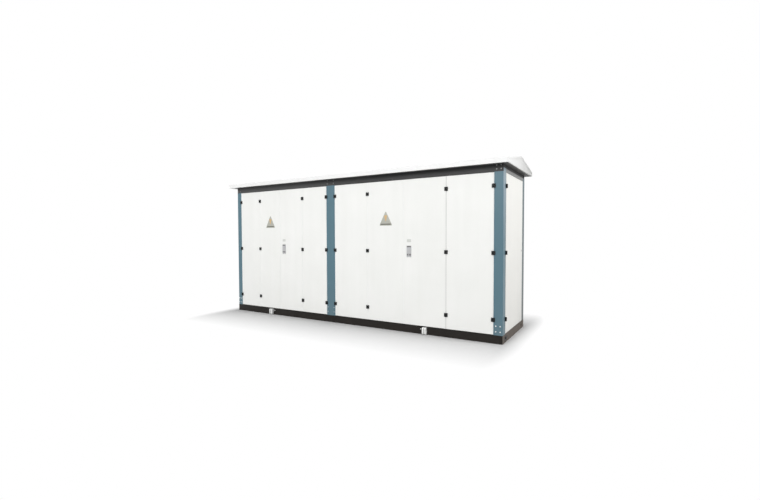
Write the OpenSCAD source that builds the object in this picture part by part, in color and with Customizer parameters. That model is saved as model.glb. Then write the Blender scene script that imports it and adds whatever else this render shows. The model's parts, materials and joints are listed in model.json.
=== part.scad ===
// Compact substation: a folded-steel enclosure on a channel base, with hinged leaves and a low gable roof.
// X runs along the length, Y into the depth from the front, Z up. The origin is under the middle of the base.

/* [Enclosure] */
// Length of the base and of the walls
frame_l = 4950; // [4400:10:5600]
// Depth of the base and of the walls
frame_d = 1230; // [1000:10:1500]
// Height of the base channel
base_h = 112; // [80:1:140]
// Height of the door openings, from the base to the top rail
door_h = 2092; // [1900:1:2300]
// Height of the top rail
rail_h = 92; // [80:1:130]
// Height of the pale rail over each end leaf
end_rail_h = 42; // [30:1:60]
// Clear width of the left front bay
left_bay_w = 2020; // [1800:10:2200]
// Width of the corner posts, on the ends and on the right
post_w = 120; // [100:5:150]
// Width of the left corner posts as seen from the front
left_post_w = 100; // [90:5:150]
// Width of the mid post between the two bays
mid_post_w = 170; // [160:5:240]

/* [Sheet and channel] */
// Width of the flanges of the base channel
channel_w = 50; // [40:5:60]
// Thickness of the web of the base channel
channel_web = 6; // [4:1:9]
// Thickness of the flanges of the base channel
channel_flange = 8; // [5:1:11]
// Thickness of the folded posts and of the top rail
post_t = 3; // [2:0.5:4]
// Inside radius of the bends in the posts
bend_r = 3; // [2:0.5:5]
// Depth of the posts behind the face of the leaves
post_depth = 50; // [48:1:60]
// Width of the stop that stands behind the edge of each leaf
stop_w = 22; // [16:1:28]
// Width of the flanges of the top rail
rail_w = 40; // [30:1:46]
// Thickness of the floor
floor_t = 4; // [3:0.5:6]
// Height of the upturned edge of the floor, which stops the leaves
floor_lip_h = 28; // [20:1:40]
// Diameter of the holes in the end channels
end_hole_d = 38; // [30:1:45]
// Distance of those holes from the front and back of the base
end_hole_inset = 157; // [130:1:200]
// Number of cross members in the base
cross_count = 3; // [2:1:4]

/* [Roof] */
// Overhang of the roof past each end
roof_end_out = 88; // [70:1:180]
// Overhang of the roof past the front and the back
roof_side_out = 112; // [55:1:150]
// Height of the upright edge of the roof
fascia_h = 62; // [50:1:120]
// Rise of the roof from its edge to the ridge
roof_rise = 122; // [60:1:160]
// Thickness of the flat sheet under the roof
ceiling_t = 3; // [2:0.5:5]
// Thickness of the roof sheet
roof_t = 2.5; // [2:0.5:4]
// Width of the lip folded in under each edge of the roof
drip_w = 14; // [10:1:30]
// Height of the edge folded down over each gable plate
verge_h = 24; // [15:1:40]
// Number of ribs under the roof
rib_count = 6; // [4:1:9]

/* [Leaves] */
// How far the first seam of the left bay lies to the right of its even place
left_shift_1 = -12; // [-30:1:30]
// The same for the middle seam of the left bay
left_shift_2 = -17; // [-30:1:30]
// The same for the third seam of the left bay
left_shift_3 = -7; // [-30:1:30]
// How far the first seam of the right bay lies to the right of its even place
right_shift_1 = -16; // [-30:1:30]
// The same for the middle seam of the right bay
right_shift_2 = -31; // [-40:1:40]
// The same for the third seam of the right bay
right_shift_3 = -12; // [-30:1:30]
// Gap between a leaf and what is beside it
leaf_gap = 8; // [7:0.5:10]
// Gap above and below each leaf
leaf_gap_v = 6; // [5:0.5:10]
// Depth of the outer pan of a leaf
pan_depth = 20; // [15:1:24]
// Whole depth of a leaf
leaf_depth = 40; // [34:1:42]
// Thickness of the leaf sheet
leaf_t = 2; // [1.5:0.5:3]
// Inset of the inner step of a leaf from its edge
step_w = 8; // [7:1:12]
// Width of the flange at the back of a leaf
back_flange_w = 32; // [24:1:40]
// Number of stiffening channels across a leaf
stiffener_count = 4; // [2:1:6]
// Height of each stiffening channel
stiffener_h = 40; // [30:5:60]

/* [Hinges] */
// Distance of the hinge pins from the face of the leaves
pin_out = 14; // [12:0.5:15]
// Radius of the hinge knuckles
knuckle_r = 8; // [6.5:0.5:9]
// Radius of the hinge pins
pin_r = 4; // [3:0.5:5]
// Play of a pin in its knuckle, on the radius
pin_play = 0.05; // [0.02:0.01:0.08]
// Height of a hinge
hinge_h = 52; // [46:1:80]
// Distance from the pin to the far edge of a hinge plate
hinge_reach = 25; // [22:1:34]
// Thickness of the hinge plates
hinge_t = 7; // [5:0.5:8]
// Height of the lowest hinge above the ground
hinge_z_low = 309; // [240:1:400]
// Height of the middle hinge above the ground
hinge_z_mid = 1170; // [1000:1:1300]
// Height of the top hinge above the ground
hinge_z_top = 2027; // [1700:1:2040]

/* [Locks] */
// Width of the lock plate
lock_w = 74; // [55:1:80]
// Height of the lock plate
lock_h = 166; // [130:1:190]
// How far the lock plate stands proud of the leaf
lock_out = 4; // [3:0.5:6]
// Depth of the lock case behind the face of the leaf
lock_case_depth = 26; // [20:1:30]
// Width of the lever in the lock plate
lever_w = 54; // [30:1:60]
// Height of that lever
lever_h = 92; // [70:1:100]
// Distance of the lock's middle from the edge of its leaf
lock_inset = 84; // [82:1:104]
// Distance of the small key lock's middle from the edge of an end leaf
key_lock_inset = 62; // [50:1:100]
// Height of the middle of every lock above the ground
lock_z = 1169; // [1000:1:1300]

/* [Lifting lugs] */
// Distance of the right lugs from the right end of the base
lug_from_right = 1080; // [800:10:1300]
// Distance of the left lugs from the left end of the base
lug_from_left = 880; // [600:10:1100]
// Width of a lug over its two cheeks
lug_w = 58; // [50:1:70]
// Height of a lug
lug_h = 92; // [70:1:100]
// Thickness of each cheek
lug_t = 18; // [12:1:20]
// Radius of the outer corners of a cheek
lug_corner_r = 12; // [5:1:20]
// How far the cheeks stand out from the base
lug_out = 46; // [40:1:52]
// Diameter of the hole through the cheeks
lug_hole_d = 26; // [18:1:28]
// Distance from the middle of a lug to the earthing boss beside it
boss_gap = 62; // [50:1:90]
// Diameter of the earthing boss
boss_d = 20; // [16:1:30]
// Height of its middle above the ground
boss_z = 73; // [45:1:80]

/* [Hidden] */
$fn = 48;
door_z = base_h;
rail_z = base_h + door_h;
eave_z = rail_z + rail_h;
half_l = frame_l / 2;
half_d = frame_d / 2;
right_bay_w = frame_l - left_post_w - post_w - mid_post_w - left_bay_w;
left_bay_x = -half_l + left_post_w;
mid_x = left_bay_x + left_bay_w;
right_bay_x = mid_x + mid_post_w;
LEFT = 0;
RIGHT = 1;
bay_x = [left_bay_x, right_bay_x];
bay_w = [left_bay_w, right_bay_w];
leaves_in_bay = 4;
seam_shift = [
    [0, left_shift_1, left_shift_2, left_shift_3, 0],
    [0, right_shift_1, right_shift_2, right_shift_3, 0]
];
leaf_h = door_h - 2 * leaf_gap_v;
leaf_z = door_z + leaf_gap_v;
end_bay_w = frame_d - 2 * post_w;
end_leaf_w = end_bay_w - 2 * leaf_gap;
hinge_heights = [hinge_z_low, hinge_z_mid, hinge_z_top];
knuckle_gap = 0.6;
knuckle_h = (hinge_h - 2 * knuckle_gap) / 3;
neck_w = knuckle_r + 2;
neck_t = 5;
cut = 1;
stop_z_drop = 28;
stop_clearance = 4;
seat_gap = 0.3;
eave_bottom_z = eave_z - roof_t;
eave_top_z = eave_bottom_z + fascia_h;
roof_half_l = half_l + roof_end_out;
roof_half_d = half_d + roof_side_out;
slope = atan(roof_rise / roof_half_d);
lug_plate_t = 8;
barrel_r = 11;
case_inset = 8;
case_play = 1;
case_w = lock_w - 2 * case_inset;
case_h = lock_h - 2 * case_inset;

// Colours as they show on the enclosure
post_colour = [0.38, 0.50, 0.55];
leaf_colour = [0.93, 0.94, 0.92];
base_colour = [0.20, 0.18, 0.17];
rail_colour = [0.32, 0.33, 0.33];
end_rail_colour = [0.70, 0.71, 0.70];
hinge_colour = [0.08, 0.08, 0.09];
zinc_colour = [0.80, 0.80, 0.79];

// Middle of seam n of a bay, where seam 0 is between the first post and the first leaf
function seam_x(bay, n) =
    bay_x[bay] + leaf_gap / 2 + n * (bay_w[bay] - leaf_gap) / leaves_in_bay + seam_shift[bay][n];

// Left edge and width of leaf n of a bay, counted from 1
function leaf_x(bay, n) = seam_x(bay, n - 1) + leaf_gap / 2;
function leaf_w(bay, n) = seam_x(bay, n) - seam_x(bay, n - 1) - leaf_gap;

// A folded section: sheet of thickness t along a path of right-angle bends, rounded at each bend
module folded(path, t, r) {
    mid_r = r + t / 2;
    last = len(path) - 1;
    for (i = [0 : last - 1]) {
        along = (path[i + 1] - path[i]) / norm(path[i + 1] - path[i]);
        from = path[i] + (i > 0 ? mid_r : 0) * along;
        to = path[i + 1] - (i < last - 1 ? mid_r : 0) * along;
        low = [min(from.x, to.x), min(from.y, to.y)];
        high = [max(from.x, to.x), max(from.y, to.y)];
        side = [abs(along.y), abs(along.x)] * t / 2;
        translate(low - side) square(high - low + 2 * side);
    }
    for (i = [1 : last - 1]) {
        before = (path[i] - path[i - 1]) / norm(path[i] - path[i - 1]);
        after = (path[i + 1] - path[i]) / norm(path[i + 1] - path[i]);
        centre = path[i] + mid_r * (after - before);
        reach = (r + t) * (before - after);
        corner = [min(0, reach.x), min(0, reach.y)];
        translate(centre) intersection() {
            difference() {
                circle(r + t);
                circle(r);
            }
            translate(corner) square(r + t);
        }
    }
}

// Rectangular ring of channel with its open side inwards: outer size l by d, height h
module channel_ring(l, d, h, w, web, flange) {
    difference() {
        translate([-l / 2, -d / 2, 0]) cube([l, d, h]);
        translate([-l / 2 + w, -d / 2 + w, -cut]) cube([l - 2 * w, d - 2 * w, h + 2 * cut]);
        translate([-l / 2 + web, -d / 2 + web, flange])
            cube([l - 2 * web, d - 2 * web, h - 2 * flange]);
    }
}

module base_frame() {
    cross_step = frame_l / (cross_count + 1);
    inner_h = base_h - 2 * channel_flange;
    color(base_colour) difference() {
        union() {
            channel_ring(frame_l, frame_d, base_h, channel_w, channel_web, channel_flange);
            for (i = [1 : cross_count])
                translate([-half_l + i * cross_step, 0, channel_flange]) cross_member(inner_h);
        }
        for (end = [-1, 1], side = [-1, 1])
            translate([end * half_l, side * (half_d - end_hole_inset), base_h / 2])
                rotate([0, 90, 0]) cylinder(d = end_hole_d, h = 3 * channel_web, center = true);
    }
}

// Channel laid across the base, from web to web
module cross_member(h) {
    span = frame_d - 2 * channel_web;
    difference() {
        translate([-channel_w / 2, -span / 2, 0]) cube([channel_w, span, h]);
        translate([-channel_w / 2 + channel_web, -span / 2 - cut, channel_flange])
            cube([channel_w, span + 2 * cut, h - 2 * channel_flange]);
    }
}

// Floor sheet on the base, turned up behind the bottom edges of the leaves
module floor_tray() {
    l = frame_l - 2 * post_depth;
    d = frame_d - 2 * post_depth;
    color(zinc_colour) difference() {
        translate([-l / 2, -d / 2, base_h]) cube([l, d, floor_lip_h]);
        translate([-l / 2 + floor_t, -d / 2 + floor_t, base_h + floor_t])
            cube([l - 2 * floor_t, d - 2 * floor_t, floor_lip_h]);
    }
}

// One lifting lug on the front web: a back plate with two drilled cheeks
module lug() {
    difference() {
        union() {
            translate([-lug_w / 2, -lug_plate_t, (base_h - lug_h) / 2])
                cube([lug_w, lug_plate_t, lug_h]);
            for (side = [-1, 1])
                translate([side * (lug_w - lug_t) / 2, 0, base_h / 2]) cheek(lug_corner_r);
        }
        translate([-lug_w / 2 - cut, -(lug_out + lug_plate_t) / 2, base_h / 2])
            rotate([0, 90, 0]) cylinder(d = lug_hole_d, h = lug_w + 2 * cut);
    }
}

// A cheek with its two outer corners rounded, in the plane across the lug
module cheek(r) {
    translate([-lug_t / 2, -lug_out + r, -lug_h / 2]) cube([lug_t, lug_out - r, lug_h]);
    translate([-lug_t / 2, -lug_out, -lug_h / 2 + r]) cube([lug_t, lug_out, lug_h - 2 * r]);
    for (side = [-1, 1])
        translate([-lug_t / 2, -lug_out + r, side * (lug_h / 2 - r)]) rotate([0, 90, 0])
            cylinder(r = r, h = lug_t);
}

module lifting_lugs_front() {
    right_x = half_l - lug_from_right;
    left_x = -half_l + lug_from_left;
    color(zinc_colour) translate([0, -half_d, 0]) {
        translate([right_x, 0, 0]) lug();
        translate([left_x, 0, 0]) lug();
        translate([right_x - boss_gap, 0, boss_z]) earthing_boss();
        translate([left_x + boss_gap, 0, boss_z]) earthing_boss();
    }
}

// A round boss with a tapped hole, welded on the web
module earthing_boss() {
    boss_out = 12;
    hole_d = 10;
    rotate([90, 0, 0]) difference() {
        cylinder(d = boss_d, h = boss_out);
        translate([0, 0, cut]) cylinder(d = hole_d, h = boss_out);
    }
}

module lifting_lugs_back() {
    mirror([0, 1, 0]) lifting_lugs_front();
}

// Folded corner post, with a leg of width front_w on the front and one of width post_w on the end.
// The leg on the end runs on upwards past the end of the top rail.
module corner_post(front_w) {
    t = post_t / 2;
    flat_y = bend_r + post_t;
    path = [
        [-front_w + t - stop_w, post_depth - t], [-front_w + t, post_depth - t],
        [-front_w + t, t], [-t, t], [-t, post_w - t],
        [-post_depth + t, post_w - t], [-post_depth + t, post_w - t + stop_w]
    ];
    color(post_colour) translate([half_l, -half_d, door_z]) {
        linear_extrude(door_h) folded(path, post_t, bend_r);
        translate([-post_t, flat_y, door_h - cut])
            cube([post_t, post_w - flat_y - seat_gap, rail_h / 2 + cut]);
    }
}

module corner_post_front_right() { corner_post(post_w); }
module corner_post_front_left() { mirror([1, 0, 0]) corner_post(left_post_w); }
module corner_post_back_right() { mirror([0, 1, 0]) corner_post(post_w); }
module corner_post_back_left() { mirror([0, 1, 0]) mirror([1, 0, 0]) corner_post(left_post_w); }

// Folded mid post with a stop at each side
module mid_post_front() {
    t = post_t / 2;
    path = [
        [t - stop_w, post_depth - t], [t, post_depth - t], [t, t],
        [mid_post_w - t, t], [mid_post_w - t, post_depth - t],
        [mid_post_w - t + stop_w, post_depth - t]
    ];
    color(post_colour) translate([mid_x, -half_d, door_z])
        linear_extrude(door_h) folded(path, post_t, bend_r);
}

module mid_post_back() { mirror([0, 1, 0]) mid_post_front(); }

// Dark rail along the front and the back, with a recessed angle across each end
module top_frame() {
    l = frame_l - 2 * (post_t + seat_gap);
    end_in = 10;
    end_d = frame_d - 2 * post_t;
    end_z = rail_z + end_rail_h;
    color(rail_colour) {
        for (side = [0, 1]) mirror([0, side, 0])
            translate([-l / 2, -half_d, rail_z]) rail(l, rail_h, rail_w);
        for (side = [0, 1]) mirror([side, 0, 0]) {
            translate([half_l - end_in - post_t, -end_d / 2, end_z])
                cube([post_t, end_d, rail_h - end_rail_h]);
            translate([half_l - rail_w, -end_d / 2, eave_z - post_t])
                cube([rail_w - end_in, end_d, post_t]);
        }
    }
}

// Channel of length l along X, open to the back
module rail(l, h, w) {
    difference() {
        cube([l, w, h]);
        translate([-cut, post_t, post_t]) cube([l + 2 * cut, w, h - 2 * post_t]);
    }
}

// Pale rail over each end leaf, between the legs of the corner posts
module end_rails() {
    l = frame_d - 2 * post_w;
    color(end_rail_colour) for (side = [0, 1]) mirror([side, 0, 0])
        translate([half_l, -l / 2, rail_z]) rotate([0, 0, 90]) rail(l, end_rail_h, rail_w);
}

// Angles under the top rail that stop the top edges of the leaves
module head_stops() {
    from_x = stop_w + stop_clearance;
    ends = 2 * from_x;
    end_l = end_bay_w - ends;
    color(rail_colour) {
        for (side = [0, 1]) mirror([0, side, 0]) {
            translate([left_bay_x + from_x, -half_d, rail_z]) head_stop(left_bay_w - ends);
            translate([right_bay_x + from_x, -half_d, rail_z]) head_stop(right_bay_w - ends);
        }
        for (side = [0, 1]) mirror([side, 0, 0])
            translate([half_l, -end_l / 2, rail_z]) rotate([0, 0, 90]) head_stop(end_l);
    }
}

// One folded strip of length l: a flange against the rail and a lip hanging behind the leaf
module head_stop(l) {
    front_y = rail_w - stop_w;
    difference() {
        translate([0, front_y, -stop_z_drop]) cube([l, post_depth - front_y, stop_z_drop]);
        translate([-cut, front_y - cut, -stop_z_drop - cut])
            cube([l + 2 * cut, post_depth - post_t - front_y + cut, stop_z_drop - post_t + cut]);
    }
}

// Flat sheet that closes the top of the enclosure and the underside of the overhang
module ceiling_panel() {
    l = 2 * (roof_half_l - 2 * roof_t - seat_gap);
    d = 2 * (roof_half_d - roof_t - seat_gap);
    color(rail_colour) translate([-l / 2, -d / 2, eave_z]) cube([l, d, ceiling_t]);
}

// Upright triangular ribs that carry the slopes
module roof_ribs() {
    rib_t = 3;
    flange_w = 40;
    inner_d = roof_half_d - drip_w;
    low_z = eave_z + ceiling_t;
    under_z = eave_top_z - roof_t / cos(slope) - seat_gap;
    edge_z = under_z + (roof_half_d - inner_d) * tan(slope);
    first_x = 300;
    step = 2 * (roof_half_l - first_x) / (rib_count - 1);
    color(rail_colour) for (i = [0 : rib_count - 1])
        translate([-roof_half_l + first_x + i * step, 0, 0]) rotate([90, 0, 90]) {
            linear_extrude(rib_t) polygon([
                [-inner_d, low_z], [inner_d, low_z], [inner_d, edge_z],
                [0, under_z + roof_rise], [-inner_d, edge_z]
            ]);
            translate([-inner_d, low_z, rib_t]) cube([2 * inner_d, rib_t, flange_w]);
        }
}

// Front slope: the sheet with its upright edge and the lip folded in below it,
// and at each end an edge folded down over the gable plate
module roof_front_slope() {
    t = roof_t;
    top_t = roof_t / cos(slope);
    ridge_z = eave_top_z + roof_rise;
    color(leaf_colour) translate([-roof_half_l, 0, 0]) rotate([90, 0, 90]) {
        linear_extrude(2 * roof_half_l) polygon([
            [0, ridge_z], [-roof_half_d, eave_top_z], [-roof_half_d, eave_bottom_z],
            [-roof_half_d + drip_w, eave_bottom_z], [-roof_half_d + drip_w, eave_bottom_z + t],
            [-roof_half_d + t, eave_bottom_z + t], [-roof_half_d + t, eave_top_z - top_t + t * tan(slope)],
            [0, ridge_z - top_t]
        ]);
        for (along = [0, 2 * roof_half_l - t]) translate([0, 0, along]) linear_extrude(t) polygon([
            [0, ridge_z], [-roof_half_d, eave_top_z],
            [-roof_half_d, eave_top_z - verge_h], [0, ridge_z - verge_h]
        ]);
    }
}

module roof_back_slope() { mirror([0, 1, 0]) roof_front_slope(); }

// Gable plate under the right ends of the slopes, with a lip folded in at its bottom
module gable_right() {
    t = roof_t;
    inner_d = roof_half_d - drip_w - seat_gap;
    plate_d = roof_half_d - t;
    low_z = eave_bottom_z;
    under_z = eave_top_z - t / cos(slope);
    color(leaf_colour) translate([roof_half_l - 2 * t, 0, 0]) rotate([90, 0, 90]) {
        linear_extrude(t) polygon([
            [-inner_d, low_z], [inner_d, low_z], [inner_d, low_z + t], [plate_d, low_z + t],
            [plate_d, under_z + t * tan(slope)], [0, under_z + roof_rise],
            [-plate_d, under_z + t * tan(slope)], [-plate_d, low_z + t], [-inner_d, low_z + t]
        ]);
        translate([-inner_d, low_z, -drip_w]) cube([2 * inner_d, t, drip_w]);
    }
}

module gable_left() { mirror([1, 0, 0]) gable_right(); }

// One leaf: an outer pan with a stepped, folded edge and stiffening channels, open at the back.
// Its outer face lies at y = 0 and its left bottom corner at the origin.
module leaf(w, h) {
    t = leaf_t;
    inner = step_w + t;
    from_x = inner + 5;
    rib_step = h / (stiffener_count + 1);
    difference() {
        union() {
            cube([w, pan_depth, h]);
            translate([step_w, 0, step_w]) cube([w - 2 * step_w, leaf_depth, h - 2 * step_w]);
        }
        translate([t, t, t]) cube([w - 2 * t, pan_depth - 2 * t, h - 2 * t]);
        translate([inner, t, inner]) cube([w - 2 * inner, leaf_depth - 2 * t, h - 2 * inner]);
        translate([back_flange_w, t, back_flange_w])
            cube([w - 2 * back_flange_w, leaf_depth, h - 2 * back_flange_w]);
    }
    for (i = [1 : stiffener_count])
        translate([from_x, t, i * rib_step]) stiffener(w - 2 * from_x);
}

// Channel welded across the back of a leaf, open downwards
module stiffener(l) {
    depth = leaf_depth - 2 * leaf_t - 1;
    difference() {
        cube([l, depth, stiffener_h]);
        translate([-cut, leaf_t, -leaf_t]) cube([l + 2 * cut, depth - 2 * leaf_t, stiffener_h]);
    }
}

// Leaf with the cut-out that takes a lock at lock_x from its left edge
module leaf_with_lock(w, h, lock_x) {
    difference() {
        leaf(w, h);
        translate([lock_x - case_w / 2 - case_play, -cut, lock_z - leaf_z - case_h / 2 - case_play])
            cube([case_w + 2 * case_play, leaf_t + 2 * cut, case_h + 2 * case_play]);
    }
}

// Leaf with the round hole that takes a key lock at lock_x from its left edge
module leaf_with_key_lock(w, h, lock_x) {
    difference() {
        leaf(w, h);
        translate([lock_x, -cut, lock_z - leaf_z]) rotate([-90, 0, 0])
            cylinder(r = barrel_r + case_play, h = leaf_t + 2 * cut);
    }
}

// Round key lock: a collar on the leaf, a barrel behind it, and a three-sided spindle in its mouth
module key_lock() {
    collar_r = 15;
    collar_t = 2.5;
    mouth_r = 7;
    mouth_depth = 6;
    spindle_r = 5;
    difference() {
        union() {
            rotate([90, 0, 0]) cylinder(r = collar_r, h = collar_t);
            rotate([-90, 0, 0]) cylinder(r = barrel_r, h = lock_case_depth);
        }
        translate([0, mouth_depth, 0]) rotate([90, 0, 0])
            cylinder(r = mouth_r, h = mouth_depth + collar_t + cut);
    }
    translate([0, mouth_depth, 0]) rotate([90, 0, 0]) cylinder(r = spindle_r, h = mouth_depth, $fn = 3);
}

// Flush lock: a plate with a forked foot over the cut-out, a case behind it, a lever and a key cylinder
module lock() {
    corner = 7;
    lever_z = 12;
    lever_t = 6;
    key_d = 18;
    key_t = 4;
    key_z = -48;
    fork_w = 20;
    fork_h = 15;
    rotate([90, 0, 0]) {
        linear_extrude(lock_out) difference() {
            rounded(lock_w, lock_h, corner);
            translate([-fork_w / 2, -lock_h / 2 - cut]) square([fork_w, fork_h + cut]);
        }
        translate([0, lever_z, lock_out]) linear_extrude(lever_t) rounded(lever_w, lever_h, corner);
        translate([0, key_z, lock_out]) cylinder(d = key_d, h = key_t);
    }
    translate([-case_w / 2, 0, -case_h / 2]) cube([case_w, lock_case_depth, case_h]);
}

// Rectangle about the origin with rounded corners
module rounded(w, h, r) {
    square([w - 2 * r, h], center = true);
    square([w, h - 2 * r], center = true);
    for (x = [-w / 2 + r, w / 2 - r], y = [-h / 2 + r, h / 2 - r]) translate([x, y]) circle(r);
}

// Leaf n of a front bay
module front_leaf(bay, n) {
    w = leaf_w(bay, n);
    color(leaf_colour) translate([leaf_x(bay, n), -half_d, leaf_z])
        if (n == 3) leaf_with_lock(w, leaf_h, lock_inset);
        else leaf(w, leaf_h);
}

// Lock of a front bay, on leaf 3
module front_lock(bay) {
    color(zinc_colour) translate([leaf_x(bay, 3) + lock_inset, -half_d, lock_z]) lock();
}

// Hinge plate on the side given by dir, 1 for right and -1 for left, with its pin at the origin
module hinge_plate(dir) {
    inner_x = knuckle_r + 1;
    x0 = dir > 0 ? inner_x : -hinge_reach;
    translate([x0, pin_out - hinge_t, -hinge_h / 2]) cube([hinge_reach - inner_x, hinge_t, hinge_h]);
}

// Knuckle from z0 up, with the neck that joins it to the plate on the side given by dir
module knuckle(dir, z0) {
    x0 = dir > 0 ? 0 : -neck_w;
    translate([0, 0, z0]) {
        cylinder(r = knuckle_r, h = knuckle_h);
        translate([x0, pin_out - hinge_t, 0]) cube([neck_w, neck_t, knuckle_h]);
    }
}

// Half with the two outer knuckles and the pin
module pinned_half(dir) {
    top_z = hinge_h / 2 - knuckle_h;
    hinge_plate(dir);
    knuckle(dir, -hinge_h / 2);
    knuckle(dir, top_z);
    translate([0, 0, -hinge_h / 2]) cylinder(r = pin_r, h = hinge_h);
}

// Half with the bored middle knuckle
module bored_half(dir) {
    difference() {
        union() {
            hinge_plate(dir);
            knuckle(dir, -knuckle_h / 2);
        }
        translate([0, 0, -hinge_h / 2]) cylinder(r = pin_r + pin_play, h = hinge_h);
    }
}

// Puts a hinge half at every hinge height on the front, at x
module at_front_hinges(x) {
    for (z = hinge_heights) translate([x, -half_d - pin_out, z]) children();
}

// Puts a hinge half at every hinge height on the right end, beside the front post
module at_end_hinges() {
    for (z = hinge_heights)
        translate([half_l + pin_out, -half_d + post_w + leaf_gap / 2, z]) rotate([0, 0, 90]) children();
}

// Hinge halves that ride on leaf n of a front bay
module front_hinges(bay, n) {
    color(hinge_colour) {
        if (n == 1) at_front_hinges(seam_x(bay, 0)) bored_half(1);
        if (n == 1) at_front_hinges(seam_x(bay, 1)) pinned_half(-1);
        if (n == 2) at_front_hinges(seam_x(bay, 1)) bored_half(1);
        if (n == 3) at_front_hinges(seam_x(bay, 3)) bored_half(-1);
        if (n == 4) at_front_hinges(seam_x(bay, 3)) pinned_half(1);
        if (n == 4) at_front_hinges(seam_x(bay, 4)) bored_half(-1);
    }
}

// Hinge halves on the posts
module post_hinge_halves() {
    color(hinge_colour) {
        for (bay = [LEFT, RIGHT]) {
            at_front_hinges(seam_x(bay, 0)) pinned_half(-1);
            at_front_hinges(seam_x(bay, 4)) pinned_half(1);
        }
        at_end_hinges() pinned_half(-1);
    }
}

// Whole hinge on a leaf that stays shut
module closed_hinge() {
    hinge_plate(-1);
    hinge_plate(1);
    for (z0 = [-hinge_h / 2, hinge_h / 2 - knuckle_h]) knuckle(-1, z0);
    knuckle(1, -knuckle_h / 2);
    translate([0, 0, -hinge_h / 2]) cylinder(r = pin_r, h = hinge_h);
}

module fixed_hinges() {
    color(hinge_colour) {
        mirror([0, 1, 0]) for (bay = [LEFT, RIGHT], seam = [0, 1, 3, 4])
            at_front_hinges(seam_x(bay, seam)) closed_hinge();
        mirror([1, 0, 0]) at_end_hinges() closed_hinge();
    }
}

module back_leaves(bay) {
    mirror([0, 1, 0]) for (n = [1 : leaves_in_bay]) front_leaf(bay, n);
}

module back_left_leaves() { back_leaves(LEFT); }
module back_right_leaves() { back_leaves(RIGHT); }

// Single leaf of the right end, with a key lock near the back post
module right_end_leaf() {
    color(leaf_colour) translate([half_l, -end_leaf_w / 2, leaf_z]) rotate([0, 0, 90])
        leaf_with_key_lock(end_leaf_w, leaf_h, end_leaf_w - key_lock_inset);
}

module right_end_lock() {
    color(zinc_colour) translate([half_l, end_leaf_w / 2 - key_lock_inset, lock_z])
        rotate([0, 0, 90]) key_lock();
}

module right_end_hinges() {
    color(hinge_colour) at_end_hinges() bored_half(1);
}

module left_end_leaf() { mirror([1, 0, 0]) right_end_leaf(); }

module fixed_locks() {
    mirror([0, 1, 0]) {
        front_lock(LEFT);
        front_lock(RIGHT);
    }
    mirror([1, 0, 0]) right_end_lock();
}

base_frame();
floor_tray();
lifting_lugs_front();
lifting_lugs_back();
corner_post_front_left();
corner_post_front_right();
corner_post_back_left();
corner_post_back_right();
mid_post_front();
mid_post_back();
top_frame();
end_rails();
head_stops();
ceiling_panel();
roof_ribs();
roof_front_slope();
roof_back_slope();
gable_left();
gable_right();
back_left_leaves();
back_right_leaves();
left_end_leaf();
post_hinge_halves();
fixed_hinges();
fixed_locks();
front_leaf(LEFT, 1);  // front_left_leaf_1
front_leaf(LEFT, 2);  // front_left_leaf_2
front_leaf(LEFT, 3);  // front_left_leaf_3
front_leaf(LEFT, 4);  // front_left_leaf_4
front_leaf(RIGHT, 1);  // front_right_leaf_1
front_leaf(RIGHT, 2);  // front_right_leaf_2
front_leaf(RIGHT, 3);  // front_right_leaf_3
front_leaf(RIGHT, 4);  // front_right_leaf_4
front_hinges(LEFT, 1);  // front_left_hinges_1
front_hinges(LEFT, 2);  // front_left_hinges_2
front_hinges(LEFT, 3);  // front_left_hinges_3
front_hinges(LEFT, 4);  // front_left_hinges_4
front_hinges(RIGHT, 1);  // front_right_hinges_1
front_hinges(RIGHT, 2);  // front_right_hinges_2
front_hinges(RIGHT, 3);  // front_right_hinges_3
front_hinges(RIGHT, 4);  // front_right_hinges_4
front_lock(LEFT);  // front_left_lock
front_lock(RIGHT);  // front_right_lock
right_end_leaf();
right_end_hinges();
right_end_lock();
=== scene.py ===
import json
import math

import bmesh
import bpy
from mathutils import Matrix, Vector


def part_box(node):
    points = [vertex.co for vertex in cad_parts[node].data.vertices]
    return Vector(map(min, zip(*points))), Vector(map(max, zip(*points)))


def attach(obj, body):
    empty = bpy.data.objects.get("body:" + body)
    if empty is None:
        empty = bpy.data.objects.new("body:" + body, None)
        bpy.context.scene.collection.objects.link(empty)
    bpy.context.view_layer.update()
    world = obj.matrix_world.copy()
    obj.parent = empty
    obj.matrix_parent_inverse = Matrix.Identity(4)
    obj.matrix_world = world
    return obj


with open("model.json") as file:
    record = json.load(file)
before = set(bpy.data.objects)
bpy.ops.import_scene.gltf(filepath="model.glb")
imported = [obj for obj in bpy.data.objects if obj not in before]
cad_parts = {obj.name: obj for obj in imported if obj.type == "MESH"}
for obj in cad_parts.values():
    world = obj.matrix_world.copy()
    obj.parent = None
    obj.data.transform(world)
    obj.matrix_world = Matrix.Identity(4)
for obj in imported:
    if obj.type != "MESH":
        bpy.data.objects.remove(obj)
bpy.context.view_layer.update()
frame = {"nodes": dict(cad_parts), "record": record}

# The viewpoint
# A standing person's eye height, in front of the right-hand bay and a little beyond the right end,
# so that the front runs away to the left and the end shows as a narrow strip.
EYE = (3.7813, -5.7981, 1.3816)
TURN = (90 - 1.880, 0.169, 31.078)
camera = bpy.data.objects.new("camera", bpy.data.cameras.new("camera"))
bpy.context.scene.collection.objects.link(camera)
camera.location = EYE
camera.rotation_euler = [math.radians(angle) for angle in TURN]
camera.data.sensor_width = 36.0
camera.data.lens = 19.181
bpy.context.scene.camera = camera
bpy.context.scene.view_settings.view_transform = "Standard"


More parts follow.
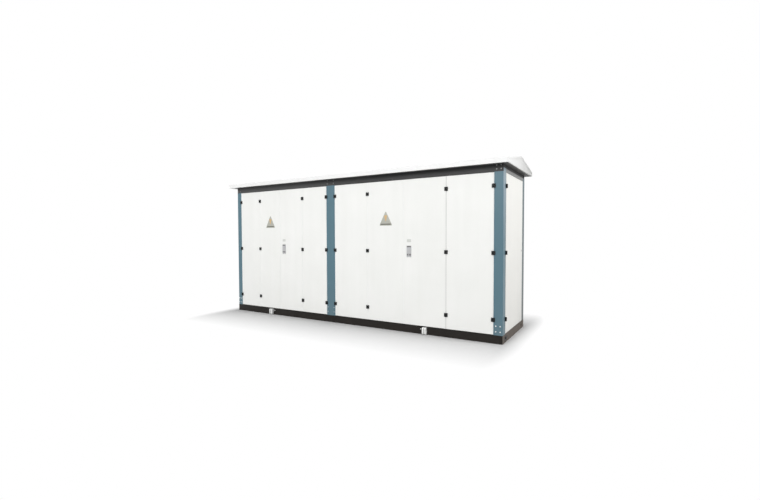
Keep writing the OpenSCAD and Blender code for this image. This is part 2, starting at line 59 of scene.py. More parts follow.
# The base channel
# A rectangle of hot-rolled channel, welded at mitred corners, with channels across it inside.
# It has a near-black coat, dull with dust where rain splashes it.
class Wire:
    """One value on its way through a material, which can be used in sums like a number."""

    def __init__(self, tree, socket=None):
        self.tree = tree
        self.socket = socket

    def node(self, kind, settings, sockets, output=0):
        """A new node of that kind, with its settings and its inputs, as its output."""
        made = self.tree.nodes.new("ShaderNode" + kind)
        for name, setting in settings.items():
            setattr(made, name, setting)
        for name, value in sockets.items():
            if isinstance(value, Wire):
                self.tree.links.new(value.socket, made.inputs[name])
            else:
                made.inputs[name].default_value = value
        return Wire(self.tree, made.outputs[output])

    def maths(self, operation, first, second=0.0, clamp=False):
        """One sum of two values, kept between 0 and 1 where it is clamped."""
        settings = {"operation": operation, "use_clamp": clamp}
        return self.node("Math", settings, {0: first, 1: second})

    def __add__(self, other):
        return self.maths("ADD", self, other)

    __radd__ = __add__

    def __mul__(self, other):
        return self.maths("MULTIPLY", self, other)

    def __sub__(self, other):
        return self.maths("SUBTRACT", self, other)

    def __rsub__(self, other):
        return self.maths("SUBTRACT", other, self)

    def __truediv__(self, other):
        return self.maths("DIVIDE", self, other)

    def __pow__(self, other):
        return self.maths("POWER", self, other)

    def __lt__(self, other):
        return self.maths("LESS_THAN", self, other)

    def __gt__(self, other):
        return self.maths("GREATER_THAN", self, other)

    def __abs__(self):
        return self.maths("ABSOLUTE", self)

    def held(self):
        """The value kept between 0 and 1."""
        return self.maths("ADD", self, 0.0, clamp=True)

    def between(self, colour, other):
        """From one colour to the other as this value goes from 0 to 1."""
        ends = [c if isinstance(c, Wire) else (*c, 1.0) for c in (colour, other)]
        return self.node("Mix", {"data_type": "RGBA"}, {0: self, 6: ends[0], 7: ends[1]}, 2)

    def noise(self, scale, detail=2.0, stretch=(1, 1, 1)):
        """Cloudy noise at this place, with lumps of about 1 / scale metres."""
        at = self
        if stretch != (1, 1, 1):
            at = self.node("VectorMath", {"operation": "MULTIPLY"}, {0: self, 1: stretch})
        return self.node("TexNoise", {}, {"Vector": at, "Scale": scale, "Detail": detail}, "Fac")

    def part(self, letter):
        """The X, Y or Z part of this place."""
        return self.node("SeparateXYZ", {}, {0: self}, letter)

    def into(self, shader, name):
        """Joins this value to an input of the shader."""
        self.tree.links.new(self.socket, shader.inputs[name])

    def bump(self, shader, strength, depth):
        """Lets this value stand up from the surface as a height of that many metres."""
        raised = self.node("Bump", {}, {"Strength": strength, "Distance": depth, "Height": self})
        raised.into(shader, "Normal")


def finish(name, metallic=0.0):
    """A new material, its shader, and the place of each point in metres."""
    material = bpy.data.materials.new(name)
    material.use_nodes = True
    shader = material.node_tree.nodes["Principled BSDF"]
    shader.inputs["Metallic"].default_value = metallic
    place = Wire(material.node_tree).node("TexCoord", {}, {}, "Object")
    return material, shader, place


def give(material, *nodes):
    """Gives the CAD nodes this material."""
    for name in nodes:
        slots = frame["nodes"][name].material_slots
        for slot in slots:
            slot.material = material


DUST_AND_SHEEN = (0.30, 0.26, 0.23)
BASE_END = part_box("base_frame")[1][0] - 0.001
MOUNTS = {mount["name"]: mount["pos_m"] for mount in frame["record"]["mounts"]}
HOLE_Y, HOLE_Z = MOUNTS["end_hole_right_front"][1:]
HOLE_SHADE_WIDE, HOLE_SHADE_HIGH = 0.105, 0.046


def base_coat():
    """Near-black and dusty at its foot. Its ends are painted paler as a painted sheen, and painted
    shade is left dark in a patch round each front end hole.
    """
    material, shader, place = finish("base_coat")
    cloud = place.noise(3.0, 5.0)
    speckle = place.noise(140.0, 3.0)
    low = (1 - place.part("Z") / 0.1).held()
    on_end = abs(place.part("X")) > BASE_END
    aside = (place.part("Y") - HOLE_Y) / HOLE_SHADE_WIDE
    above = (place.part("Z") - HOLE_Z) / HOLE_SHADE_HIGH
    hole_shade = (2.4 - (aside * aside + above * above) ** 0.5 * 2.4).held()
    # Painted sheen on the ends, held back round each front end hole as painted shade
    end_sheen = on_end * (1 - hole_shade) * 0.45
    dust_and_sheen = ((cloud * 1.5 - 0.45) * 0.035 + low * 0.02 + speckle * 0.01 + end_sheen).held()
    shader.inputs["Specular IOR Level"].default_value = 0.24
    dust_and_sheen.between((0.0065, 0.0048, 0.0034), DUST_AND_SHEEN).into(shader, "Base Color")
    (0.36 + dust_and_sheen * 1.2).into(shader, "Roughness")
    (speckle + cloud * 0.5).bump(shader, 0.35, 0.0006)
    return material


give(base_coat(), "base_frame")


# The floor and the lifting lugs
# The floor is galvanised sheet, turned up at its edges behind the leaves. The lugs are flame-cut
# plates in pairs, hot-dip galvanised and welded to the web, with a boss for the earth strap.
def galvanised():
    material, shader, place = finish("galvanised", 0.15)
    spangle = place.node("TexVoronoi", {"feature": "F1"}, {"Vector": place, "Scale": 55.0}, "Color")
    shade = spangle.node("RGBToBW", {}, {0: spangle})
    cloud = place.noise(7.0, 4.0)
    tone = (shade * 0.5 + cloud * 0.5).between((0.80, 0.81, 0.80), (0.93, 0.93, 0.92))
    tone.into(shader, "Base Color")
    (0.30 + shade * 0.12 + cloud * 0.15).into(shader, "Roughness")
    place.noise(260.0, 3.0).bump(shader, 0.2, 0.0004)
    return material


zinc = galvanised()
give(zinc, "floor_tray", "lifting_lugs_front", "lifting_lugs_back")


# The posts
# Folded steel sheet, powder coated in a dusty grey-blue with the faint skin of that process.
# They are bolted to the base channel and to the top rail.
def powder_coat(name, colour, roughness=0.38, grime_and_shade=0.10, grime_top=0.7, painted_light=None):
    """Powder paint: a fine orange-peel skin, faint clouds and runs, and a little dust low down.
    Painted light, where given, may change the paint's colour from place to place."""
    material, shader, place = finish(name)
    cloud = place.noise(1.7, 5.0)
    runs = place.noise(9.0, 4.0, stretch=(1, 1, 0.07))
    skin = place.noise(700.0, 1.0)
    low = (1 - place.part("Z") / grime_top).held()
    darker = tuple(c * 0.90 for c in colour)
    tone = (cloud * 0.6 + runs * 0.4).between(darker, tuple(min(c * 1.06, 0.93) for c in colour))
    dust_and_sheen = (low * low * (runs * 0.7 + 0.3) * grime_and_shade * 2.0 + (cloud * cloud) * grime_and_shade * 0.25).held()
    paint = dust_and_sheen.between(tone, DUST_AND_SHEEN)
    if painted_light:
        paint = painted_light(place, paint)
    paint.into(shader, "Base Color")
    (roughness + cloud * 0.08 + dust_and_sheen * 0.5).into(shader, "Roughness")
    (skin + cloud * 6.0).bump(shader, 0.12, 0.0004)
    return material


POSTS = [f"corner_post_{side}_{end}" for side in ("front", "back") for end in ("left", "right")]
MID_POSTS = ["mid_post_front", "mid_post_back"]
POST_END = -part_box(POSTS[0])[0][0] - 0.004


def post_end_painted_light(place, paint):
    """The ends of the corner posts: painted sheen at the top of the front ones, painted shade on
    the back ones.
    """
    on_end = abs(place.part("X")) > POST_END
    painted_sheen = on_end * (place.part("Y") < 0) * (place.part("Z") * 0.9 - 1.2).held() * 0.5
    post_painted_shade = on_end * (place.part("Y") > 0) * (0.75 - place.part("Z") * 0.15)
    return post_painted_shade.between(painted_sheen.between(paint, (0.50, 0.56, 0.62)), (0.045, 0.042, 0.035))


give(powder_coat("post_blue", (0.077, 0.163, 0.207), painted_light=post_end_painted_light), *POSTS, *MID_POSTS)


# The bolts of the posts
# Zinc-plated hex bolts with washers, four through the foot of each post into the base channel and
# four through its head into the top rail.
def lathe(mesh, profile, sides, at, turn=0.0):
    """Turns a profile of (radius, height) points about the Z axis of the place."""
    angles = [turn + math.tau * i / sides for i in range(sides)]
    rings = []
    for radius, height in profile:
        around = angles if radius else [0.0]
        points = [(radius * math.cos(a), radius * math.sin(a), height) for a in around]
        rings.append([mesh.verts.new(at @ Vector(point)) for point in points])
    join_rings(mesh, rings, sides)


def join_rings(mesh, rings, sides):
    """Faces between each ring of points and the next, where a ring may be a single point."""
    for low, high in zip(rings, rings[1:]):
        for i in range(sides):
            j = (i + 1) % sides
            loop = [low[i % len(low)], low[j % len(low)], high[j % len(high)], high[i % len(high)]]
            corners = list(dict.fromkeys(loop))
            if len(corners) > 2:
                mesh.faces.new(corners)


def piece(name, mesh, material, body):
    """Ends the making of a mesh: a smooth, named piece that rides on its body."""
    bmesh.ops.recalc_face_normals(mesh, faces=mesh.faces)
    data = bpy.data.meshes.new(name)
    mesh.to_mesh(data)
    mesh.free()
    data.shade_smooth()
    data.set_sharp_from_angle(angle=math.radians(32))
    data.materials.append(material)
    made = bpy.data.objects.new(name, data)
    bpy.context.scene.collection.objects.link(made)
    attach(made, body)


# Each wall of the enclosure: the way it faces, and the way that is to the right for a viewer
WALLS = {
    "front": (Vector((0, -1, 0)), Vector((1, 0, 0))),
    "right": (Vector((1, 0, 0)), Vector((0, 1, 0))),
    "back": (Vector((0, 1, 0)), Vector((-1, 0, 0))),
    "left": (Vector((-1, 0, 0)), Vector((0, -1, 0))),
}
HALF_L, HALF_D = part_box("base_frame")[1][0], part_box("base_frame")[1][1]


def facing(wall, along, height, proud=0.0):
    """A place on a wall, with X to the viewer's right, Y up and Z out. Along is its row X or Y."""
    out, right = WALLS[wall]
    across = Vector((abs(right.x), abs(right.y), 0))
    wall_out = HALF_D if out.y else HALF_L
    spot = across * along + out * (wall_out + proud) + Vector((0, 0, height))
    turned = Matrix((right, (0, 0, 1), out)).transposed().to_4x4()
    return Matrix.Translation(spot) @ turned


WASHER_RIM = 0.0015
WASHER_T = 0.002
WASHER_BEVEL = 0.0006
HEAD_BEVEL = 0.0009
CORNER_BEVEL = 0.0011


def hex_bolt(mesh, at, across, turn):
    """A washer and a hex head with its corners eased, for a bolt of that width across its flats."""
    washer, corner = across * 0.62, across / math.sqrt(3)
    rim = [(washer, 0), (washer, WASHER_RIM), (washer - WASHER_BEVEL, WASHER_T), (0, WASHER_T)]
    lathe(mesh, rim, 28, at)
    top = WASHER_T + across * 0.38
    eased = [(corner, top - HEAD_BEVEL), (corner - CORNER_BEVEL, top)]
    lathe(mesh, [(corner, WASHER_T), *eased, (0, top)], 6, at, turn)


def zinc_plate(name, dark, pale):
    """Zinc-plated steel in a tone between a dark and a pale colour."""
    material, shader, place = finish(name, 0.5)
    grain = place.noise(900.0, 2.0)
    place.noise(45.0, 3.0).between(dark, pale).into(shader, "Base Color")
    (0.26 + grain * 0.2).into(shader, "Roughness")
    grain.bump(shader, 0.25, 0.0002)
    return material


BOLT_ACROSS = 0.014
BOLT_SPREAD = {"corner": 0.028, "mid": 0.060}
# How far the flange of a corner post reaches past its face, behind the leaves
STOP_WIDTH = 0.0205
bright_zinc = zinc_plate("bright_zinc", (0.66, 0.68, 0.68), (0.84, 0.86, 0.86))
faded_zinc = zinc_plate("faded_zinc", (0.34, 0.40, 0.43), (0.46, 0.52, 0.55))
dull_zinc = zinc_plate("dull_zinc", (0.20, 0.20, 0.20), (0.31, 0.31, 0.31))
# The head bolts take the dark dull zinc as painted shade from the eave
BOLTS = {"foot": ((0.157, 0.230), bright_zinc), "head": ((2.236, 2.286), dull_zinc)}
MID_FOOT_UP = 0.013


def post_bolts(post, wall):
    """The bolts at the foot and the head of one post, each head turned a little differently."""
    low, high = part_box(post)
    middle = (low[0] + high[0]) / 2
    kind = post.split("_")[0]
    if kind == "corner":
        width = high[0] - low[0] - STOP_WIDTH
        middle = math.copysign(HALF_L - width / 2, middle)
    for end, (heights, material) in BOLTS.items():
        mesh = bmesh.new()
        up = 0.0
        if (kind, end) == ("mid", "foot"):
            up, material = MID_FOOT_UP, faded_zinc
        for height in heights:
            for side in (-1, 1):
                at = facing(wall, middle + side * BOLT_SPREAD[kind], height + up)
                hex_bolt(mesh, at, BOLT_ACROSS, height * 9 + side)
        piece(f"bolts_{end}_{post}", mesh, material, "enclosure")


for post in POSTS + MID_POSTS:
    post_bolts(post, "front" if "front" in post else "back")


# The top rail and what lies under the roof
# The rail is a folded channel in dark grey, which has faded towards the left. Stops under it catch
# the leaves, a flat sheet closes the top and the overhang, and pale rails lie over the end leaves.
def rail_paint():
    material, shader, place = finish("rail_grey")
    cloud = place.noise(2.3, 4.0)
    faded = (0.30 - place.part("X") / 1.6 + cloud * 0.3).held()
    faded.between((0.010, 0.0105, 0.0105), (0.058, 0.059, 0.059)).into(shader, "Base Color")
    (0.42 + cloud * 0.12).into(shader, "Roughness")
    (place.noise(700.0, 1.0) + cloud * 6.0).bump(shader, 0.12, 0.0004)
    return material


give(rail_paint(), "top_frame", "head_stops")


def soffit_painted_light(place, paint):
    """Painted light: the underside of the left overhang is given the roof's white, though it lies
    in shade.
    """
    return (place.part("X") < -HALF_L).between(paint, (0.86, 0.865, 0.86))


# The ceiling's dark grey is partly its own paint and partly painted shade under the roof
ceiling_paint_and_shade = powder_coat("ceiling_grey", (0.090, 0.090, 0.086), 0.5, painted_light=soffit_painted_light)
give(ceiling_paint_and_shade, "ceiling_panel", "roof_ribs")
give(powder_coat("end_rail_grey", (0.235, 0.24, 0.235), 0.4), "end_rails")


# The roof
# Two folded sheets that meet at the ridge, each with an upright edge, and a plate in each gable.
# White paint with faint grey runs and clouds; painted shade greys it towards the back of each gable
# and on the upward faces of the slopes.
ROOF_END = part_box("gable_right")[1][0] - 0.02


def roof_paint():
    material, shader, place = finish("roof_white")
    cloud = place.noise(1.1, 5.0)
    runs = place.noise(14.0, 4.0, stretch=(1, 0.08, 0.08))
    on_end = abs(place.part("X")) > ROOF_END
    # Painted shade, darker towards the back of each gable
    grime_and_shade = on_end * (place.part("Y") * 0.7 + 0.58).held() * (0.7 + runs * 0.6)
    on_top = place.node("TexCoord", {}, {}, "Normal").part("Z") > 0.9
    slope_shade_streaks = place.noise(16.0, 4.0, stretch=(1, 0.08, 0.08))
    # Painted shade on the upward faces of the slopes
    painted_light = on_top * (0.30 + cloud * 0.25 + slope_shade_streaks * 0.30)
    grey = ((runs * 0.55 + cloud * 0.45 - 0.32).held() * 0.4 + grime_and_shade + painted_light).held()
    grey.between((0.86, 0.865, 0.86), (0.50, 0.50, 0.49)).into(shader, "Base Color")
    (0.36 + grey * 0.35).into(shader, "Roughness")
    (place.noise(700.0, 1.0) + cloud * 5.0).bump(shader, 0.12, 0.0005)
    return material


give(roof_paint(), "roof_front_slope", "roof_back_slope", "gable_left", "gable_right")


# The leaves
# Each is a shallow pan of steel sheet with folded edges and channels welded across its back, in
# white powder paint. Two outer leaves hang on the posts, and two inner ones hang on those.
FRONT_LEAVES = [f"front_{bay}_leaf_{n}" for bay in ("left", "right") for n in (1, 2, 3, 4)]


def end_leaf_painted_shade(place, paint):
    """Painted shade, darker low down towards the back of each end leaf."""
    end_leaf_shade = (place.part("Y") * 2.2 - 0.3).held() * (1.15 - place.part("Z")).held() * 0.4
    return end_leaf_shade.between(paint, (0.55, 0.55, 0.54))


end_leaf_paint = powder_coat(
    "end_leaf_white", (0.87, 0.865, 0.825), 0.34, 0.05, 1.8, painted_light=end_leaf_painted_shade
)
leaf_paint = powder_coat("leaf_white", (0.89, 0.90, 0.865), 0.34, 0.02, 1.6)
give(leaf_paint, *FRONT_LEAVES, "back_left_leaves", "back_right_leaves")
give(end_leaf_paint, "right_end_leaf", "left_end_leaf")


# The edge seals
# Rubber strips on the edges of the posts and leaves, which fill the gaps between the leaves. They
# are white; the grey one in the last seam of the right bay and the black ones at the ends are
# painted shade in those gaps.
def soften(corners, radius, steps=5):
    """The outline through these corners, each rounded with an arc."""
    points = [Vector(corner) for corner in corners]
    outline = []
    for i, corner in enumerate(points):
        to_last = (points[i - 1] - corner).normalized()
        to_next = (points[(i + 1) % len(points)] - corner).normalized()
        half = to_last.angle(to_next) / 2
        centre = corner + (to_last + to_next).normalized() * (radius / math.sin(half))
        start = corner + to_last * (radius / math.tan(half)) - centre
        end = corner + to_next * (radius / math.tan(half)) - centre
        arc = [start.lerp(end, k / steps).normalized() for k in range(steps + 1)]
        outline += [centre + way * radius for way in arc]
    return outline


def box_outline(width, height, radius, middle=(0.0, 0.0)):
    """A rectangle with rounded corners."""
    x, y = middle
    signs = ((-1, -1), (1, -1), (1, 1), (-1, 1))
    return soften([(x + a * width / 2, y + b * height / 2) for a, b in signs], radius)


def inset(outline, by):
    """The outline moved inwards by that much all round."""
    moved = []
    for i, point in enumerate(outline):
        before = (point - outline[i - 1]).normalized()
        after = (outline[(i + 1) % len(outline)] - point).normalized()
        inward = Vector((-before.y - after.y, before.x + after.x))
        moved.append(point + inward * (by / (1 + before.dot(after))))
    return moved


def slab(mesh, outline, thick, edge, at, low=0.0):
    """A flat piece of that outline, standing out from the place, with a rounded front edge."""
    turns = [math.radians(angle) for angle in (0, 30, 60, 90)]
    levels = [(0.0, low)]
    levels += [(edge * (1 - math.cos(a)), low + thick - edge * (1 - math.sin(a))) for a in turns]
    rings = []
    for by, height in levels:
        points = [(point.x, point.y, height) for point in inset(outline, by)]
        rings.append([mesh.verts.new(at @ Vector(point)) for point in points])
    join_rings(mesh, rings, len(outline))
    mesh.faces.new(rings[0])
    mesh.faces.new(rings[-1])


def rubber(name, dark, pale):
    """Matt rubber with faint clouds."""
    material, shader, place = finish(name)
    cloud = place.noise(30.0, 4.0)
    cloud.between(dark, pale).into(shader, "Base Color")
    (0.62 + cloud * 0.2).into(shader, "Roughness")
    place.noise(600.0, 2.0).bump(shader, 0.2, 0.0003)
    return material


SEAM = 0.008
SEAL_WIDTH = 0.0074
SEAL_THICK = 0.004
SEAL_EDGE = 0.0015
SEAL_BEHIND = 0.0025
seal_white = rubber("seal_white", (0.87, 0.88, 0.87), (0.92, 0.93, 0.92))
# Painted shade: the grey and black seals stand in for the shade in their gaps
seal_shade_grey = rubber("seal_shade_grey", (0.50, 0.50, 0.49), (0.58, 0.58, 0.57))
seal_shade_black = rubber("seal_shade_black", (0.03, 0.03, 0.03), (0.06, 0.06, 0.06))
LEAF_LOW, LEAF_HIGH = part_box("right_end_leaf")[0][2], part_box("right_end_leaf")[1][2]


def seals(name, wall, places, body, material=seal_white):
    """Seals as tall as the leaves, their faces a little behind those of the leaves."""
    mesh = bmesh.new()
    outline = box_outline(SEAL_WIDTH, LEAF_HIGH - LEAF_LOW, SEAL_EDGE)
    for along in places:
        at = facing(wall, along, (LEAF_LOW + LEAF_HIGH) / 2, -SEAL_BEHIND)
        slab(mesh, outline, SEAL_THICK, SEAL_EDGE, at, -SEAL_THICK / 2)
    piece(name, mesh, material, body)


def front_seams(bay):
    """Where the five seams of a front bay are, from left to right."""
    boxes = [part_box(f"front_{bay}_leaf_{n}") for n in (1, 2, 3, 4)]
    return [low[0] - SEAM / 2 for low, high in boxes] + [boxes[-1][1][0] + SEAM / 2]


SEAMS = {bay: front_seams(bay) for bay in ("left", "right")}
END_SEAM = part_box("right_end_leaf")[1][1] + SEAM / 2
NUDGE = (SEAM - SEAL_WIDTH) / 2
# The middle seal is on the inner leaf that folds clear of the post: which leaf, and its side
MIDDLE_SEAL = {"left": (3, 1), "right": (2, -1)}
for bay, (first, second, middle, fourth, last) in SEAMS.items():
    seals(f"seals_posts_{bay}", "front", (first - NUDGE, last + NUDGE), "enclosure")
    seals(f"seal_leaf_1_{bay}", "front", (second - NUDGE,), f"front_{bay}_leaf_1")
    inner, side = MIDDLE_SEAL[bay]
    at_middle = (middle + side * NUDGE,)
    seals(f"seal_leaf_{inner}_{bay}", "front", at_middle, f"front_{bay}_leaf_{inner}")
    tone = seal_shade_grey if bay == "right" else seal_white
    seals(f"seal_leaf_4_{bay}", "front", (fourth + NUDGE,), f"front_{bay}_leaf_4", tone)
    seals(f"seals_back_{bay}", "back", (first, second, middle, fourth, last), "enclosure")
for end in ("left", "right"):
    seals(f"seals_end_{end}", end, (-END_SEAM - NUDGE, END_SEAM + NUDGE), "enclosure", seal_shade_black)


# The hinges
# Square cast hinges with a steel pin, powder coated black, two screws in each plate.
def hinge_paint():
    material, shader, place = finish("hinge_black")
    grain = place.noise(420.0, 3.0)
    rub = (place.noise(60.0, 4.0) * 2.2 - 1.1).held()
    shade = rub * 0.35 + grain * 0.1
    shader.inputs["Specular IOR Level"].default_value = 0.25
    shade.between((0.005, 0.006, 0.006), (0.030, 0.032, 0.032)).into(shader, "Base Color")
    (0.40 + grain * 0.2).into(shader, "Roughness")
    grain.bump(shader, 0.3, 0.0005)
    return material


HINGE_NODES = [n for n in frame["nodes"] if "hinges" in n or "hinge_halves" in n]
give(hinge_paint(), *HINGE_NODES)


# The hinge screws
# Countersunk socket screws, blackened, two in each plate of every hinge. They stand only 0.3 mm out
# of the plate, so that the seals of the folded leaves pass over them.
HINGE_HEIGHTS = (0.309, 1.170, 2.027)
SCREW_IN = 0.017
SCREW_UP = 0.017
PLATE_OUT = 0.007
SCREW = [(0.0044, 0), (0.0041, 0.00025), (0.0024, 0.0003), (0.0022, 0.0001), (0, 0.0001)]


def black_steel():
    material, shader, place = finish("black_steel", 0.6)
    grain = place.noise(800.0, 2.0)
    grain.between((0.020, 0.020, 0.022), (0.080, 0.080, 0.084)).into(shader, "Base Color")
    (0.28 + grain * 0.25).into(shader, "Roughness")
    grain.bump(shader, 0.2, 0.0002)
    return material


screw_steel = black_steel()


def hinge_screws(name, plates, body):
    """Screws for hinge plates, each given by its wall, its pin's place and its side of the pin."""
    mesh = bmesh.new()
    for wall, pin, side in plates:
        for height in HINGE_HEIGHTS:
            for up in (-SCREW_UP, SCREW_UP):
                at = facing(wall, pin + side * SCREW_IN, height + up, PLATE_OUT)
                lathe(mesh, SCREW, 18, at)
    piece(name, mesh, screw_steel, body)


fixed_plates = [("right", -END_SEAM, -1), ("left", -END_SEAM, -1), ("left", -END_SEAM, 1)]
for bay, (first, second, middle, fourth, last) in SEAMS.items():
    fixed_plates += [("front", first, -1), ("front", last, 1)]
    for pin in (first, second, fourth, last):
        fixed_plates += [("back", pin, side) for side in (-1, 1)]
    leaf = f"front_{bay}_leaf_"
    hinge_screws(f"screws_{bay}_1", [("front", first, 1), ("front", second, -1)], leaf + "1")
    hinge_screws(f"screws_{bay}_2", [("front", second, 1)], leaf + "2")
    hinge_screws(f"screws_{bay}_3", [("front", fourth, -1)], leaf + "3")
    hinge_screws(f"screws_{bay}_4", [("front", fourth, 1), ("front", last, -1)], leaf + "4")
hinge_screws("screws_fixed", fixed_plates, "enclosure")
hinge_screws("screws_end", [("right", -END_SEAM, 1)], "right_end_leaf")


# The locks
# Flush swing-handle locks in die-cast metal, and a small round key lock in each end leaf.
def lock_paint():
    material, shader, place = finish("lock_grey")
    cloud = place.noise(25.0, 4.0)
    cloud.between((0.43, 0.43, 0.44), (0.55, 0.55, 0.56)).into(shader, "Base Color")
    (0.35 + cloud * 0.15).into(shader, "Roughness")
    place.noise(500.0, 2.0).bump(shader, 0.2, 0.0004)
    return material


give(lock_paint(), "front_left_lock", "front_right_lock", "right_end_lock", "fixed_locks")


# The lock inserts
# Dark grey moulded inserts let into the plate of each front lock, above and below its lever.
def moulded_grey():
    material, shader, place = finish("moulded_grey")
    grain = place.noise(1100.0, 2.0)
    grain.between((0.125, 0.125, 0.130), (0.185, 0.185, 0.190)).into(shader, "Base Color")
    (0.45 + grain * 0.2).into(shader, "Roughness")
    grain.bump(shader, 0.3, 0.0002)
    return material


LOCK_Z = 1.169
LOCK_OUT = 0.004
INSERT_WIDTH = 0.064
INSERT_THICK, INSERT_EDGE, INSERT_SUNK = 0.0012, 0.0004, 0.0002
INSERTS = ((0.070, 0.019), (-0.045, 0.026))
insert_grey = moulded_grey()


def middle_of(node):
    """The row X of the middle of this node."""
    low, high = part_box(node)
    return (low[0] + high[0]) / 2


def lock_inserts(bay):
    """The two inserts of one front lock, each at its height from the middle of the plate."""
    mesh = bmesh.new()
    at = facing("front", middle_of(f"front_{bay}_lock"), LOCK_Z, LOCK_OUT)
    for up, tall in INSERTS:
        outline = box_outline(INSERT_WIDTH, tall, 0.003, (0.0, up))
        slab(mesh, outline, INSERT_THICK, INSERT_EDGE, at, -INSERT_SUNK)
    piece(f"lock_inserts_{bay}", mesh, insert_grey, f"front_{bay}_leaf_3")


for bay in SEAMS:
    lock_inserts(bay)


# The sign plates
# A blank triangular plate of printed aluminium on the second leaf of each bay, stuck on at eye
# height: grey, with an ochre taper in its middle and a dark band above its lower edge.
def printed(name, dark, pale):
    """Printed sheet with a faint sheen."""
    material, shader, place = finish(name)
    cloud = place.noise(18.0, 4.0)
    cloud.between(dark, pale).into(shader, "Base Color")
    (0.30 + cloud * 0.15).into(shader, "Roughness")
    place.noise(900.0, 2.0).bump(shader, 0.1, 0.0002)
    return material


SIGN_Z = 1.546
SIGN_RIGHT = 0.012
# Each part of a sign: its material, how far out it starts, its thickness, its rounding, its corners
SIGN_PARTS = {
    "plate": (printed("sign_grey", (0.39, 0.39, 0.34), (0.47, 0.47, 0.42)), 0.0, 0.0016, 0.010,
              [(-0.110, 0.0), (0.110, 0.0), (0.0, 0.216)]),
    "taper": (printed("sign_ochre", (0.56, 0.38, 0.17), (0.66, 0.46, 0.23)), 0.0014, 0.0005, 0.004,
              [(0.0, 0.050), (0.028, 0.152), (-0.028, 0.152)]),
    "band": (printed("sign_band", (0.10, 0.10, 0.08), (0.15, 0.15, 0.12)), 0.0014, 0.0005, 0.003,
             [(-0.090, 0.012), (0.090, 0.012), (0.082, 0.028), (-0.082, 0.028)]),
}


def sign(bay):
    """The plate, the taper and the band of one sign."""
    body = f"front_{bay}_leaf_2"
    at = facing("front", middle_of(body) + SIGN_RIGHT, SIGN_Z)
    for part, (material, low, thick, radius, corners) in SIGN_PARTS.items():
        mesh = bmesh.new()
        slab(mesh, soften(corners, radius), thick, thick / 3, at, low)
        piece(f"sign_{part}_{bay}", mesh, material, body)


# The label plates
# A small blank plate of engraving stock over each front lock, stuck to the leaf.
LABEL_Z = 1.3235
LABEL_SIZE = (0.065, 0.042)
LABEL_THICK, LABEL_EDGE = 0.0014, 0.0005
label_grey = printed("label_grey", (0.60, 0.61, 0.58), (0.68, 0.69, 0.66))


def label(bay):
    body = f"front_{bay}_leaf_3"
    at = facing("front", middle_of(f"front_{bay}_lock"), LABEL_Z)
    mesh = bmesh.new()
    slab(mesh, box_outline(*LABEL_SIZE, 0.004), LABEL_THICK, LABEL_EDGE, at)
    piece(f"label_{bay}", mesh, label_grey, body)


for bay in SEAMS:
    sign(bay)
    label(bay)


# The earth bolts
# A zinc bolt and washer in each of the bosses beside the lugs, for the earth strap.
BOSS_OUT = 0.012
EARTH_ACROSS = 0.013
EARTH_TURN = 0.3
for mount, (x, y, z) in MOUNTS.items():
    if mount.startswith("earth_boss"):
        mesh = bmesh.new()
        at = facing("front" if y < 0 else "back", x, z, BOSS_OUT)
        hex_bolt(mesh, at, EARTH_ACROSS, EARTH_TURN)
        piece(mount.replace("boss", "bolt"), mesh, dull_zinc, "enclosure")


# The stage
# A pale matt floor that fades to white round the object, sooner beyond its ends than in front of
# it, three soft lamps and a white surround. The floor keeps the object's shadow.
FLOOR_REACH = 60.0
FLOOR_TONE = 0.54
NEAR = 0.1
FADE = 1.0
ENDS_SOONER = 4.5


def beyond(place, letter, half):
    """How far this place is past that half of the object's size, and never less than 0."""
    past = abs(place.part(letter)) - half
    return past.maths("MAXIMUM", past, 0.0)


def seen_directly(start):
    """1 for what the camera sees by itself or in a reflection, and 0 for other light."""
    camera_ray = start.node("LightPath", {}, {}, "Is Camera Ray")
    glossy_ray = start.node("LightPath", {}, {}, "Is Glossy Ray")
    return (camera_ray + glossy_ray).held()


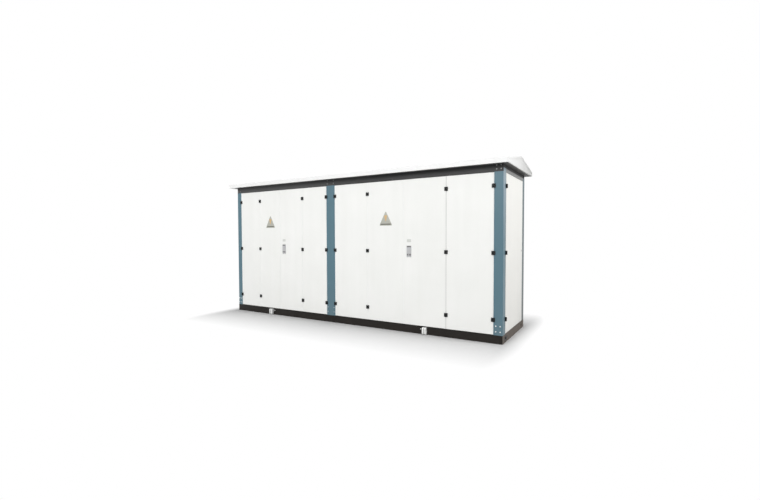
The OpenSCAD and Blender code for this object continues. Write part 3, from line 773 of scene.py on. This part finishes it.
def stage_floor():
    mesh = bpy.data.meshes.new("studio_floor")
    signs = ((-1, -1), (1, -1), (1, 1), (-1, 1))
    corners = [(x * FLOOR_REACH, y * FLOOR_REACH, 0.0) for x, y in signs]
    mesh.from_pydata(corners, [], [(0, 1, 2, 3)])
    floor = bpy.data.objects.new("studio_floor", mesh)
    bpy.context.scene.collection.objects.link(floor)
    material, shader, place = finish("studio_floor")
    shader.inputs["Base Color"].default_value = (FLOOR_TONE, FLOOR_TONE, FLOOR_TONE, 1.0)
    shader.inputs["Roughness"].default_value = 0.9
    shader.inputs["Specular IOR Level"].default_value = 0.1
    tree = material.node_tree
    beside = beyond(place, "X", HALF_L) * ENDS_SOONER
    before = beyond(place, "Y", HALF_D)
    away = (beside * beside + before * before) ** 0.5
    fade = ((away - NEAR) / FADE).held()
    white = place.node("Emission", {}, {"Color": (1, 1, 1, 1), "Strength": 1.0})
    plain = Wire(tree, shader.outputs[0])
    mixed = place.node("MixShader", {}, {0: fade * seen_directly(place), 1: plain, 2: white})
    tree.links.new(mixed.socket, tree.nodes["Material Output"].inputs["Surface"])
    mesh.materials.append(material)


stage_floor()


def soft_lamp(name, place, aim, size, watts):
    """A rectangular lamp at that place, turned towards its aim."""
    lamp = bpy.data.lights.new(name, "AREA")
    lamp.shape = "RECTANGLE"
    lamp.size, lamp.size_y = size
    lamp.energy = watts
    held = bpy.data.objects.new(name, lamp)
    held.location = place
    held.rotation_euler = (Vector(aim) - Vector(place)).to_track_quat("-Z", "Y").to_euler()
    bpy.context.scene.collection.objects.link(held)


soft_lamp("front_softbox", (-1.3, -12.6, 8.6), (0, 0, 1.2), (11.2, 7), 1350)
soft_lamp("end_softbox", (6.4, -0.3, 5.2), (2.4, 0, 1.6), (3, 3), 215)
soft_lamp("top_softbox", (0, 1.0, 9.0), (0, 0, 0), (9, 5), 150)


SURROUND_SEEN = 1.0
SURROUND_LIGHT = 0.43


def surround():
    world = bpy.data.worlds.new("surround")
    bpy.context.scene.world = world
    world.use_nodes = True
    tree = world.node_tree
    start = Wire(tree)
    strength = seen_directly(start) * (SURROUND_SEEN - SURROUND_LIGHT) + SURROUND_LIGHT
    lit = start.node("Background", {}, {"Color": (1, 1, 1, 1), "Strength": strength})
    tree.links.new(lit.socket, tree.nodes["World Output"].inputs["Surface"])


surround()
